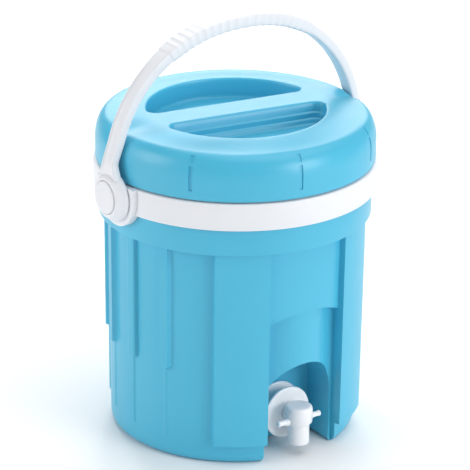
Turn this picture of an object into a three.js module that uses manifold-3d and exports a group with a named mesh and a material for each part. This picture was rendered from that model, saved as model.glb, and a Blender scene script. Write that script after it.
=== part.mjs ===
// Insulated drinks dispenser: a foam-filled jug with a twist-off lid, a bail handle and a push-fit tap.
// Millimetres, +Z up. The origin is the centre of the foot on the floor. The tap faces -Y.
import * as THREE from 'three';
import { mergeVertices } from 'three/addons/utils/BufferGeometryUtils.js';
import Module from 'manifold-3d';

const wasm = await Module();
wasm.setup();

// ---- driving dimensions ----
const FIT = 0.3;                    // gap left between neighbouring pieces
const WALL = 2.8;                   // moulded wall of the outer shell
const ROUND = 48;                   // facets round the large turned pieces
const SMALL_ROUND = 20;             // facets round the tap and the pins

const FOOT_RADIUS = 110;
const BODY_BOTTOM_RADIUS = 118.3;
const BODY_TOP_RADIUS = 120.4;
const COLLAR_RADIUS = 130;
const COLLAR_BOTTOM = 216.5;
const COLLAR_TOP = 243;
const BASE_RECESS = 3;              // the base plate is lifted off the floor inside the foot rim

const FRONT_HALF_ANGLE = 19.8;      // degrees, inner edge of each pilaster from the front
const PILASTER_OUTER_ANGLE = 45;
const PILASTER_RADIUS = 126.5;
const PILASTER_BOTTOM = 21;
const ROOT_RADIUS = 117.9;          // raised details start inside the wall at this radius
const RIB_PITCH = 19.5;             // degrees between the reeds round the body
const FIRST_RIB = 67.5;
const RIBS_PER_SIDE = 6;
const RIB_HALF_ANGLE = 2.5;
const RIB_RADIUS = 125;
const RIB_BOTTOM = 92;
const BEAD_HALF_ANGLE = 0.7;
const BEAD_RADIUS = 122;
const BEAD_BOTTOM = 23;

const HOOD_RADIUS = 118;            // front face over the tap alcove
const HOOD_EDGE_X = 14.4;
const STRIP_X = 35;                 // where the slanted cheek meets the narrow floor beside the pilaster
const STRIP_Y = -105.2;
const STRIP_END_X = 41.5;
const HOOD_BLOCK_BACK = -60;
const HOOD_CROWN = 150;
const HOOD_SPRING = 140.5;
const ALCOVE_HALF_WIDTH = 38;
const ALCOVE_SPRING = 58;
const ALCOVE_BACK_Y = -70;
const ABOVE_HOOD = 170;             // over the crown, where the hood's blocks end
const BELOW_FOOT = -2;              // under the floor, where the cuts end
const BEYOND_FRONT_Y = -140;         // clear of the shell, where the cuts begin

const RING_RADIUS = 135;
const RING_BOTTOM = COLLAR_TOP + FIT;
const RING_TOP = 269;
const BOSS_X = 136.4;               // flat face of each handle boss
const BOSS_HALF_WIDTH = 29.5;
const PIVOT_Z = 256;

const LINER_RADIUS = 107;
const LINER_WALL = 2.5;
const LINER_BOTTOM = 12;
const NICHE_HALF_WIDTH = 50;
const NICHE_Y = -60;
const NICHE_TOP = 112;

const LID_RADIUS = 133;
const LID_BOTTOM = 270.5;
const LID_SHOULDER = 289.7;
const LID_TOP = 313;               // where the rounded edge ends and the low crown begins
const LID_CROWN = 316.3;
const CROWN_EDGE_RADIUS = 84;
const LID_FILLET = 13.9;
const LID_TURN = -8.5;              // degrees, as the lid sits on the jug
const POCKET_RADIUS = 85;
const POCKET_FLOOR = 296.3;
const BAR_HALF_WIDTH = 16.5;
const POCKET_CORNER = 9;
const PLUG_RADIUS = 104;
const PLUG_BOTTOM = 252;
const LID_GROOVES = 8;
const GROOVE_BOTTOM = 279;
const GROOVE_TOP = 303;

const HUB_RADIUS = 24.5;
const HUB_INNER_X = 136.9;
const HUB_RIM_X = 139.9;            // the hub is a straight disc up to here, then rounds off
const HUB_OUTER_X = 147.4;
const HUB_CAP_RADIUS = 18.2;
const BAIL_HALF_SPAN = 141.5;
const BAIL_HEIGHT = 146;
const BAIL_POWER = 2.2;             // squareness of the bail's arch
const BAIL_WIDTH = 17;
const GRIP_WIDTH = 21;
const PIN_RADIUS = 5;
const PIN_HEAD_RADIUS = 15.6;
const PIN_END_X = 125;              // inner end of each pin, inside the ring

const TAP_Z = 35;
const TAP_DISC_RADIUS = 25.6;
const TAP_SHANK_RADIUS = 9;
const TAP_BORE = 7.2;
const CORE_RADIUS = 6.7;
const PORT_RADIUS = 2.1;
const PORT_OFFSET = 3.2;
const BARREL_Y = -109;
const BARREL_RADIUS = 13;
const BARREL_TOP = 49.5;
const SPOUT_RADIUS = 10.3;
const SPOUT_BOTTOM = 11;
const EAR_REACH = 25;

const BLUE = 0x5ac0e0;
const WHITE = 0xf2f3f7;
const FOAM = 0xe9e2c4;
const RUBBER = 0x3a3d40;

const rad = THREE.MathUtils.degToRad;

// ---- geometry helpers ----
function toSolid(geometry) {
  geometry.deleteAttribute('normal');
  geometry.deleteAttribute('uv');
  const merged = mergeVertices(geometry, 1e-4);
  const positions = merged.attributes.position.array;
  const corners = Uint32Array.from(merged.index.array);
  let volume = 0;
  const [a, b, c] = [new THREE.Vector3(), new THREE.Vector3(), new THREE.Vector3()];
  for (let i = 0; i < corners.length; i += 3) {
    a.fromArray(positions, corners[i] * 3);
    b.fromArray(positions, corners[i + 1] * 3);
    c.fromArray(positions, corners[i + 2] * 3);
    volume += a.dot(b.cross(c));
  }
  if (volume < 0) {
    for (let i = 0; i < corners.length; i += 3) {
      [corners[i], corners[i + 1]] = [corners[i + 1], corners[i]];
    }
  }
  const mesh = new wasm.Mesh({ numProp: 3, vertProperties: positions, triVerts: corners });
  return new wasm.Manifold(mesh);
}

// Turns a profile of [radius, height] points about +Z.
function turned(profile, facets = ROUND) {
  const points = profile.map(([radius, height]) => new THREE.Vector2(radius, height));
  return new THREE.LatheGeometry(points, facets).rotateX(Math.PI / 2);
}

// Turned pieces whose axis runs along +Y (profile heights are y) or along +X (heights are x).
function turnedAlongY(profile, facets = SMALL_ROUND) {
  return turned(profile, facets).rotateX(-Math.PI / 2);
}

function turnedAlongX(profile, facets = SMALL_ROUND) {
  return turned(profile, facets).rotateY(Math.PI / 2);
}

// A flat outline in plan, raised from z = bottom to z = top.
function raised(outline, bottom, top, curveSegments = 12) {
  const settings = { depth: top - bottom, bevelEnabled: false, curveSegments };
  return new THREE.ExtrudeGeometry(outline, settings).translate(0, 0, bottom);
}

// An outline drawn in X and Z, run along Y from y = front to y = back.
function runAlongY(outline, front, back, curveSegments = 12) {
  const settings = { depth: back - front, bevelEnabled: false, curveSegments };
  return new THREE.ExtrudeGeometry(outline, settings).rotateX(Math.PI / 2).translate(0, back, 0);
}

function polygon(points) {
  return new THREE.Shape(points.map(([x, y]) => new THREE.Vector2(x, y)));
}

function rectangle(x0, y0, x1, y1) {
  return polygon([[x0, y0], [x1, y0], [x1, y1], [x0, y1]]);
}

// A plan outline between two radii and two angles, angles counted from the front (-Y) towards +X.
function sector(innerRadius, outerRadius, fromAngle, toAngle, steps) {
  const outline = [];
  for (let i = 0; i <= steps; i += 1) {
    const angle = rad(fromAngle + (toAngle - fromAngle) * i / steps);
    outline.push([outerRadius * Math.sin(angle), -outerRadius * Math.cos(angle)]);
  }
  for (let i = steps; i >= 0; i -= 1) {
    const angle = rad(fromAngle + (toAngle - fromAngle) * i / steps);
    outline.push([innerRadius * Math.sin(angle), -innerRadius * Math.cos(angle)]);
  }
  return polygon(outline);
}

// An arch on straight legs, drawn in X and Z.
function arch(halfWidth, spring, foot) {
  const outline = new THREE.Shape();
  outline.moveTo(-halfWidth, foot);
  outline.lineTo(halfWidth, foot);
  outline.lineTo(halfWidth, spring);
  outline.absarc(0, spring, halfWidth, 0, Math.PI, false);
  outline.lineTo(-halfWidth, foot);
  return outline;
}

const group = new THREE.Group();

function addPiece(name, solid, color, roughness) {
  const made = solid.getMesh();
  const geometry = new THREE.BufferGeometry();
  geometry.setAttribute('position', new THREE.BufferAttribute(made.vertProperties, 3));
  geometry.setIndex(new THREE.BufferAttribute(made.triVerts, 1));
  const material = new THREE.MeshStandardMaterial({ color, roughness, metalness: 0 });
  const mesh = new THREE.Mesh(geometry, material);
  mesh.name = name;
  group.add(mesh);
}

// ---- outer shell: the blue moulded body, with its collar, reeds, pilasters and tap alcove ----
const outsideProfile = [
  [0, BASE_RECESS], [FOOT_RADIUS - 12, BASE_RECESS], [FOOT_RADIUS - 10, 0], [FOOT_RADIUS, 0],
  [FOOT_RADIUS + 5.5, 2.3], [BODY_BOTTOM_RADIUS - 0.4, 8], [BODY_BOTTOM_RADIUS, 14],
  [BODY_TOP_RADIUS, COLLAR_BOTTOM - 1], [COLLAR_RADIUS - 1.2, COLLAR_BOTTOM],
  [COLLAR_RADIUS, COLLAR_BOTTOM + 1.2], [COLLAR_RADIUS, COLLAR_TOP],
];
const TROUGH_BOTTOM = COLLAR_BOTTOM + WALL;
const insideProfile = [
  [COLLAR_RADIUS - WALL, COLLAR_TOP], [COLLAR_RADIUS - WALL, TROUGH_BOTTOM],
  [BODY_TOP_RADIUS, TROUGH_BOTTOM], [BODY_TOP_RADIUS, COLLAR_TOP],
  [BODY_TOP_RADIUS - WALL, COLLAR_TOP], [BODY_BOTTOM_RADIUS - WALL, 10],
  [FOOT_RADIUS, BASE_RECESS + WALL], [0, BASE_RECESS + WALL],
];
const envelope = toSolid(turned([...outsideProfile, [0, COLLAR_TOP]]));

function hoodPlan(offset) {
  const edgeY = -HOOD_RADIUS + offset;
  const stripY = STRIP_Y + offset;
  const endX = STRIP_END_X + offset;
  return polygon([
    [-endX, BEYOND_FRONT_Y], [-endX, stripY], [-STRIP_X, stripY], [-HOOD_EDGE_X, edgeY + 1], [0, edgeY],
    [HOOD_EDGE_X, edgeY + 1], [STRIP_X, stripY], [endX, stripY], [endX, BEYOND_FRONT_Y],
  ]);
}

function hoodFace(margin) {
  const halfWidth = STRIP_END_X + margin;
  const outline = new THREE.Shape();
  outline.moveTo(-halfWidth, -1);
  outline.lineTo(halfWidth, -1);
  outline.lineTo(halfWidth, HOOD_SPRING + margin);
  outline.quadraticCurveTo(0, 2 * HOOD_CROWN - HOOD_SPRING + margin, -halfWidth, HOOD_SPRING + margin);
  return runAlongY(outline, BEYOND_FRONT_Y, HOOD_BLOCK_BACK);
}

function buildOuterShell() {
  let shell = toSolid(turned([...outsideProfile, ...insideProfile]));
  const hoodBlock = toSolid(raised(hoodPlan(WALL), 1, ABOVE_HOOD));
  const hoodBacking = hoodBlock.intersect(toSolid(hoodFace(WALL)));
  const alcoveOutline = arch(ALCOVE_HALF_WIDTH + WALL, ALCOVE_SPRING, 0);
  const alcoveBacking = toSolid(runAlongY(alcoveOutline, BEYOND_FRONT_Y, ALCOVE_BACK_Y + WALL));
  shell = shell.add(hoodBacking.add(alcoveBacking).intersect(envelope));

  for (const side of [-1, 1]) {
    const inner = side * FRONT_HALF_ANGLE;
    const outer = side * PILASTER_OUTER_ANGLE;
    const [low, high] = [Math.min(inner, outer), Math.max(inner, outer)];
    const outline = sector(ROOT_RADIUS, PILASTER_RADIUS, low, high, 8);
    shell = shell.add(toSolid(raised(outline, PILASTER_BOTTOM, COLLAR_BOTTOM + 1)));
    for (let i = 0; i < RIBS_PER_SIDE; i += 1) {
      const centre = side * (FIRST_RIB + i * RIB_PITCH);
      const rib = sector(ROOT_RADIUS, RIB_RADIUS, centre - RIB_HALF_ANGLE, centre + RIB_HALF_ANGLE, 3);
      shell = shell.add(toSolid(raised(rib, RIB_BOTTOM, COLLAR_BOTTOM + 1)));
      const bead = sector(
        ROOT_RADIUS, BEAD_RADIUS, centre - BEAD_HALF_ANGLE, centre + BEAD_HALF_ANGLE, 1,
      );
      shell = shell.add(toSolid(raised(bead, BEAD_BOTTOM, RIB_BOTTOM + 1)));
    }
  }

  const hoodCut = toSolid(raised(hoodPlan(0), BELOW_FOOT, ABOVE_HOOD)).intersect(toSolid(hoodFace(0)));
  const alcoveFace = arch(ALCOVE_HALF_WIDTH, ALCOVE_SPRING, BELOW_FOOT);
  const alcoveCut = toSolid(runAlongY(alcoveFace, BEYOND_FRONT_Y, ALCOVE_BACK_Y));
  return shell.subtract(hoodCut).subtract(alcoveCut).subtract(tapHole());
}

// The straight hole that the tap's shank passes through in the shell, the foam and the liner.
function tapHole() {
  const radius = TAP_SHANK_RADIUS + 2 * FIT;
  const front = ALCOVE_BACK_Y - 10;
  const back = NICHE_Y + 20;
  const profile = [[0, front], [radius, front], [radius, back], [0, back]];
  return toSolid(turnedAlongY(profile).translate(0, 0, TAP_Z));
}

addPiece('outer_shell', buildOuterShell(), BLUE, 0.35);

// ---- inner liner: the food-safe tank, with a flat niche behind the alcove and a lip on the ring ----
const LIP_RADIUS = 117;
const LIP_BOTTOM = 266.3;
const LIP_TOP = 268.6;
const LIP_ROOT_RADIUS = LINER_RADIUS - 1;
const OVER_LINER = 290;             // above the tank, where its block is cut off

function buildLiner(grow) {
  const radius = LINER_RADIUS + grow;
  const bottom = LINER_BOTTOM - grow;
  const outside = toSolid(turned([[0, bottom], [radius, bottom], [radius, OVER_LINER], [0, OVER_LINER]]));
  const halfWidth = NICHE_HALF_WIDTH - grow;
  const niche = rectangle(-halfWidth, BEYOND_FRONT_Y, halfWidth, NICHE_Y - grow);
  return outside.subtract(toSolid(raised(niche, BELOW_FOOT, NICHE_TOP - grow)));
}

function innerLiner() {
  const body = buildLiner(0);
  const hollow = buildLiner(-LINER_WALL);
  const lip = toSolid(turned([
    [LIP_ROOT_RADIUS, LIP_BOTTOM], [LIP_RADIUS, LIP_BOTTOM], [LIP_RADIUS, LIP_TOP],
    [LIP_ROOT_RADIUS, LIP_TOP], [LIP_ROOT_RADIUS, LIP_BOTTOM],
  ]));
  const above = toSolid(turned([
    [0, LIP_TOP], [RING_RADIUS, LIP_TOP], [RING_RADIUS, OVER_LINER + 1], [0, OVER_LINER + 1],
  ]));
  return body.add(lip).subtract(hollow).subtract(above).subtract(tapHole());
}

addPiece('inner_liner', innerLiner(), WHITE, 0.4);

// ---- insulation foam: fills the space between the shell and the liner ----
function insulationFoam() {
  const bottom = BASE_RECESS + WALL + FIT;
  const top = COLLAR_TOP - 4;
  const block = toSolid(turned([
    [0, bottom], [FOOT_RADIUS - 1, bottom], [BODY_BOTTOM_RADIUS - WALL - 1, 14],
    [BODY_TOP_RADIUS - WALL - 1, top], [0, top],
  ]));
  const hoodBlock = toSolid(raised(hoodPlan(WALL + 1), BELOW_FOOT, ABOVE_HOOD));
  const hood = hoodBlock.intersect(toSolid(hoodFace(WALL + 1)));
  const alcoveOutline = arch(ALCOVE_HALF_WIDTH + WALL + FIT, ALCOVE_SPRING, BELOW_FOOT);
  const alcove = toSolid(runAlongY(alcoveOutline, BEYOND_FRONT_Y, ALCOVE_BACK_Y + WALL + FIT));
  return block.subtract(buildLiner(FIT)).subtract(hood).subtract(alcove).subtract(tapHole());
}

addPiece('insulation_foam', insulationFoam(), FOAM, 0.9);

// ---- collar ring: the white band that joins shell and liner and carries the handle ----
function collarRing() {
  const facets = 60;
  const wall = 3.3;
  const webBottom = RING_TOP - 2.8;
  const ledgeInner = LINER_RADIUS + 1.5;
  const ledgeOuter = 120;
  const ledgeBottom = 263.4;
  const ledgeTop = LIP_BOTTOM - FIT;
  const seatRadius = LIP_RADIUS + 0.6;
  let ring = toSolid(turned([
    [ledgeInner, ledgeBottom], [ledgeOuter, ledgeBottom], [ledgeOuter, webBottom],
    [RING_RADIUS - wall, webBottom], [RING_RADIUS - wall, RING_BOTTOM], [RING_RADIUS, RING_BOTTOM],
    [RING_RADIUS, RING_TOP], [seatRadius, RING_TOP], [seatRadius, ledgeTop], [ledgeInner, ledgeTop],
    [ledgeInner, ledgeBottom],
  ], facets));
  const insideRadius = COLLAR_RADIUS + 2 * FIT;
  const insideTop = webBottom + 1;
  const clearance = toSolid(turned([
    [0, BASE_RECESS], [insideRadius, BASE_RECESS], [insideRadius, insideTop], [0, insideTop],
  ], facets));
  const bossRoot = 122;
  const boreRadius = PIN_RADIUS + FIT;
  for (const side of [-1, 1]) {
    const outline = new THREE.Shape();
    outline.moveTo(-BOSS_HALF_WIDTH, RING_TOP);
    outline.lineTo(-BOSS_HALF_WIDTH, PIVOT_Z);
    outline.absarc(0, PIVOT_Z, BOSS_HALF_WIDTH, Math.PI, 2 * Math.PI, false);
    outline.lineTo(BOSS_HALF_WIDTH, RING_TOP);
    const slab = raised(outline, 0, BOSS_X - bossRoot, 16);
    slab.rotateX(Math.PI / 2).rotateZ(Math.PI / 2).translate(side > 0 ? bossRoot : -BOSS_X, 0, 0);
    const bore = turnedAlongX([
      [0, bossRoot - 1], [boreRadius, bossRoot - 1], [boreRadius, BOSS_X + 1], [0, BOSS_X + 1],
    ]).translate(0, 0, PIVOT_Z);
    if (side < 0) {
      bore.rotateZ(Math.PI);
    }
    ring = ring.add(toSolid(slab).subtract(clearance)).subtract(toSolid(bore));
  }
  return ring;
}

addPiece('collar_ring', collarRing(), WHITE, 0.35);

// ---- lid: blue shell with two finger pockets, foam, white plug and sealing gasket ----
const TRIM = new THREE.Matrix4().makeRotationZ(rad(LID_TURN));

// One D-shaped pocket outline with rounded corners, on the -Y or the +Y side of the grip bar.
function pocketOutline(side, grow) {
  const radius = POCKET_RADIUS + grow;
  const edge = BAR_HALF_WIDTH - grow;
  const corner = POCKET_CORNER + grow;
  const centreY = edge + corner;
  const centreX = Math.sqrt((radius - corner) ** 2 - centreY ** 2);
  const turn = Math.atan2(centreY, centreX);
  const outline = new THREE.Shape();
  outline.moveTo(-centreX, side * edge);
  outline.lineTo(centreX, side * edge);
  outline.absarc(centreX, side * centreY, corner, side * -Math.PI / 2, side * turn, side < 0);
  outline.absarc(0, 0, radius, side * turn, side * (Math.PI - turn), side < 0);
  outline.absarc(-centreX, side * centreY, corner, side * (Math.PI - turn), side * Math.PI * 1.5, side < 0);
  return outline;
}

function pockets(grow) {
  const bottom = POCKET_FLOOR - grow;
  const top = LID_TOP + 10;
  const curveSegments = 10;
  const front = toSolid(raised(pocketOutline(-1, grow), bottom, top, curveSegments));
  return front.add(toSolid(raised(pocketOutline(1, grow), bottom, top, curveSegments)));
}

function lidProfile(inset, bottom) {
  const profile = [[0, bottom], [LID_RADIUS - inset, bottom]];
  const rise = LID_TOP - LID_SHOULDER - inset;
  const steps = 6;
  for (let i = 0; i <= steps; i += 1) {
    const angle = (Math.PI / 2) * i / steps;
    const radius = LID_RADIUS - LID_FILLET + (LID_FILLET - inset) * Math.cos(angle);
    profile.push([radius, LID_SHOULDER + rise * Math.sin(angle)]);
  }
  profile.push([(LID_RADIUS - LID_FILLET + CROWN_EDGE_RADIUS) / 2, (LID_TOP + LID_CROWN) / 2 - inset]);
  profile.push([CROWN_EDGE_RADIUS, LID_CROWN - inset], [0, LID_CROWN - inset]);
  return profile;
}

function lidShell() {
  const wall = 2.4;
  const grooveWidth = 1.4;
  const grooveDepth = 0.8;
  let shell = toSolid(turned(lidProfile(0, LID_BOTTOM)));
  const hollow = toSolid(turned(lidProfile(wall, LID_BOTTOM - 1))).subtract(pockets(wall));
  shell = shell.subtract(pockets(0)).subtract(hollow);
  for (let i = 0; i < LID_GROOVES; i += 1) {
    const groove = new THREE.BoxGeometry(grooveWidth, 2 * grooveDepth, GROOVE_TOP - GROOVE_BOTTOM);
    groove.translate(0, -LID_RADIUS, (GROOVE_BOTTOM + GROOVE_TOP) / 2);
    groove.rotateZ(2 * Math.PI * i / LID_GROOVES);
    shell = shell.subtract(toSolid(groove));
  }
  return shell;
}

function addLidPiece(name, solid, color, roughness) {
  addPiece(name, solid.transform(TRIM.elements), color, roughness);
}

addLidPiece('lid_shell', lidShell(), BLUE, 0.35);

const FLANGE_BOTTOM = 270.6;
const FLANGE_TOP = 272.6;
const FLANGE_RADIUS = 129.8;
const PLUG_WALL = 2.5;
const lidLiner = toSolid(turned([
  [0, PLUG_BOTTOM], [PLUG_RADIUS - 1.5, PLUG_BOTTOM], [PLUG_RADIUS, PLUG_BOTTOM + 1.5],
  [PLUG_RADIUS, FLANGE_BOTTOM], [FLANGE_RADIUS, FLANGE_BOTTOM], [FLANGE_RADIUS, FLANGE_TOP],
  [PLUG_RADIUS - PLUG_WALL, FLANGE_TOP], [PLUG_RADIUS - PLUG_WALL, PLUG_BOTTOM + PLUG_WALL],
  [0, PLUG_BOTTOM + PLUG_WALL],
]));
addLidPiece('lid_liner', lidLiner, WHITE, 0.4);

const LID_FOAM_BOTTOM = PLUG_BOTTOM + PLUG_WALL + FIT;
const LID_FOAM_STEP = FLANGE_TOP + FIT;
const LID_FOAM_TOP = POCKET_FLOOR - 3;
const plugFoamRadius = PLUG_RADIUS - PLUG_WALL - FIT;
const lidFoam = toSolid(turned([
  [0, LID_FOAM_BOTTOM], [plugFoamRadius, LID_FOAM_BOTTOM], [plugFoamRadius, LID_FOAM_STEP],
  [FLANGE_RADIUS - 1, LID_FOAM_STEP], [FLANGE_RADIUS - 1, LID_FOAM_TOP], [0, LID_FOAM_TOP],
]));
addLidPiece('lid_foam', lidFoam, FOAM, 0.9);

const GASKET_INNER = 109;
const GASKET_OUTER = 115.5;
const lidGasket = toSolid(turned([
  [GASKET_INNER, LIP_TOP + FIT], [GASKET_OUTER, LIP_TOP + FIT], [GASKET_OUTER, FLANGE_BOTTOM - FIT],
  [GASKET_INNER, FLANGE_BOTTOM - FIT], [GASKET_INNER, LIP_TOP + FIT],
]));
addPiece('lid_gasket', lidGasket, RUBBER, 0.8);

// ---- handle: one moulded bail with round hubs and a thicker grip ----
function bailPoint(angle) {
  const x = BAIL_HALF_SPAN * Math.sign(Math.cos(angle)) * Math.abs(Math.cos(angle)) ** (2 / BAIL_POWER);
  const z = PIVOT_Z + BAIL_HEIGHT * Math.abs(Math.sin(angle)) ** (2 / BAIL_POWER);
  return new THREE.Vector2(x, z);
}

// The arch between two angles, thickened on both sides of its centre line.
function bailOutline(fromAngle, toAngle, thicknessAt, steps) {
  const outer = [];
  const inner = [];
  const nudge = 0.01;
  for (let i = 0; i <= steps; i += 1) {
    const angle = rad(fromAngle + (toAngle - fromAngle) * i / steps);
    const point = bailPoint(angle);
    const along = bailPoint(angle + nudge).sub(bailPoint(angle - nudge)).normalize();
    const normal = new THREE.Vector2(along.y, -along.x);
    const half = thicknessAt(angle) / 2;
    outer.push(point.clone().addScaledVector(normal, half));
    inner.unshift(point.clone().addScaledVector(normal, -half));
  }
  return new THREE.Shape([...outer, ...inner]);
}

function handleBail() {
  const half = BAIL_WIDTH / 2;
  const armThickness = (angle) => 8.6 + 2.2 * Math.sin(angle);
  const gripThickness = () => 13.5;
  const arms = runAlongY(bailOutline(13, 167, armThickness, 34), -half, half);
  const grip = runAlongY(bailOutline(58, 122, gripThickness, 12), -GRIP_WIDTH / 2, GRIP_WIDTH / 2);
  const stemOuterX = 145.8;
  const stemTopOuterX = 142.6;
  const stemTopInnerX = 133.6;
  const stemTop = PIVOT_Z + 42;
  const recessRadius = PIN_HEAD_RADIUS + 0.4;
  const recessFloor = HUB_OUTER_X - 2.6;
  const boreRadius = PIN_RADIUS + FIT;
  const beyondHub = HUB_OUTER_X + 10;
  let bail = toSolid(arms).add(toSolid(grip));
  for (const side of [-1, 1]) {
    const stem = polygon([
      [HUB_INNER_X, PIVOT_Z + 4], [stemOuterX - 2, PIVOT_Z + 4], [stemOuterX, PIVOT_Z + 28],
      [stemTopOuterX, stemTop], [stemTopInnerX, stemTop], [HUB_INNER_X, PIVOT_Z + 33],
    ]);
    const stemSolid = runAlongY(stem, -half, half);
    const hub = turnedAlongX([
      [0, HUB_INNER_X], [HUB_RADIUS, HUB_INNER_X], [HUB_RADIUS, HUB_RIM_X],
      [HUB_RADIUS - 2.8, HUB_RIM_X + 4], [HUB_CAP_RADIUS, HUB_OUTER_X], [0, HUB_OUTER_X],
    ], 32).translate(0, 0, PIVOT_Z);
    const recess = turnedAlongX([
      [0, PIN_END_X], [boreRadius, PIN_END_X], [boreRadius, recessFloor],
      [recessRadius, recessFloor], [recessRadius, beyondHub], [0, beyondHub],
    ], 28).translate(0, 0, PIVOT_Z);
    if (side < 0) {
      for (const piece of [stemSolid, hub, recess]) {
        piece.rotateZ(Math.PI);
      }
    }
    bail = bail.add(toSolid(stemSolid)).add(toSolid(hub)).subtract(toSolid(recess));
  }
  return bail;
}

addPiece('handle_bail', handleBail(), WHITE, 0.35);

// ---- pivot pins and the push-on retainers inside the collar ring ----
for (const [side, label] of [[-1, 'left'], [1, 'right']]) {
  const underHead = HUB_OUTER_X - 2.3;
  const headTop = HUB_OUTER_X + 1.4;
  const pin = turnedAlongX([
    [0, PIN_END_X], [PIN_RADIUS - 1, PIN_END_X], [PIN_RADIUS, PIN_END_X + 1], [PIN_RADIUS, underHead],
    [PIN_HEAD_RADIUS, underHead], [PIN_HEAD_RADIUS, headTop - 1], [PIN_HEAD_RADIUS - 1, headTop],
    [0, headTop],
  ]).translate(0, 0, PIVOT_Z);
  const clipInner = PIN_RADIUS + FIT;
  const clipOuter = 9.4;
  const clipStart = PIN_END_X + 2.6;
  const clipEnd = clipStart + 1.8;
  const retainer = turnedAlongX([
    [clipInner, clipStart], [clipOuter, clipStart], [clipOuter, clipEnd], [clipInner, clipEnd],
    [clipInner, clipStart],
  ]).translate(0, 0, PIVOT_Z);
  if (side < 0) {
    pin.rotateZ(Math.PI);
    retainer.rotateZ(Math.PI);
  }
  addPiece(`pivot_pin_${label}`, toSolid(pin), WHITE, 0.35);
  addPiece(`pivot_retainer_${label}`, toSolid(retainer), WHITE, 0.5);
}

// ---- tap: flanged body, escutcheon, gaskets and nut, and a spout that turns as the valve ----
function onTapAxis(profile, facets) {
  return toSolid(turnedAlongY(profile, facets).translate(0, 0, TAP_Z));
}

function portAlongY(front, back) {
  const profile = [[0, front], [PORT_RADIUS, front], [PORT_RADIUS, back], [0, back]];
  return toSolid(turnedAlongY(profile, 12).translate(0, 0, TAP_Z + PORT_OFFSET));
}

const DISC_FRONT = -91;
const DISC_BACK = -88;
const SEAT_FRONT = -73;             // front of the fixed half of the rotary valve
const SEAT_BACK = -69.5;
const SHANK_END = -47;
const SHANK_BORE = 5.5;
const SNAP_GROOVE = { radius: 8.6, front: -90.4, back: -88.6 };
const tapBody = onTapAxis([
  [TAP_BORE, DISC_FRONT], [TAP_DISC_RADIUS, DISC_FRONT], [TAP_DISC_RADIUS, DISC_BACK],
  [TAP_SHANK_RADIUS, DISC_BACK], [TAP_SHANK_RADIUS, SHANK_END], [SHANK_BORE, SHANK_END],
  [SHANK_BORE, SEAT_BACK], [0, SEAT_BACK], [0, SEAT_FRONT], [TAP_BORE, SEAT_FRONT],
  [TAP_BORE, SNAP_GROOVE.back], [SNAP_GROOVE.radius, SNAP_GROOVE.back],
  [SNAP_GROOVE.radius, SNAP_GROOVE.front], [TAP_BORE, SNAP_GROOVE.front], [TAP_BORE, DISC_FRONT],
], 28).subtract(portAlongY(SEAT_FRONT - 1, SEAT_BACK + 1));
addPiece('tap_body', tapBody, WHITE, 0.35);

function tapRing(outerRadius, front, back, facets = 24) {
  const bore = TAP_SHANK_RADIUS + FIT;
  const section = [
    [bore, front], [outerRadius, front], [outerRadius, back], [bore, back], [bore, front],
  ];
  return onTapAxis(section, facets);
}

const ESCUTCHEON = { radius: 25, front: -74.6, back: -71.6 };
const WASHER_RADIUS = 14;
const NUT = { radius: 15.5, front: -55.1, back: -49 };
addPiece('tap_escutcheon', tapRing(ESCUTCHEON.radius, ESCUTCHEON.front, ESCUTCHEON.back), WHITE, 0.35);
const outerGasket = tapRing(WASHER_RADIUS, ESCUTCHEON.back + FIT, ALCOVE_BACK_Y - FIT);
addPiece('tap_outer_gasket', outerGasket, RUBBER, 0.8);
const innerGasket = tapRing(WASHER_RADIUS, NICHE_Y + LINER_WALL + FIT, NUT.front - FIT);
addPiece('tap_inner_gasket', innerGasket, RUBBER, 0.8);
const nutBlank = onTapAxis([
  [0, NUT.front], [NUT.radius, NUT.front], [NUT.radius, NUT.back], [0, NUT.back],
], 6);
addPiece('tap_nut', tapRing(NUT.radius + 2, NUT.front, NUT.back).intersect(nutBlank), WHITE, 0.4);

const ORING_GROOVE_RADIUS = 5.2;
const ORING_AT = { front: -85, rear: -78 };
const ORING_CENTRE_RADIUS = 6.2;
const ORING_SECTION_RADIUS = 0.7;

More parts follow.
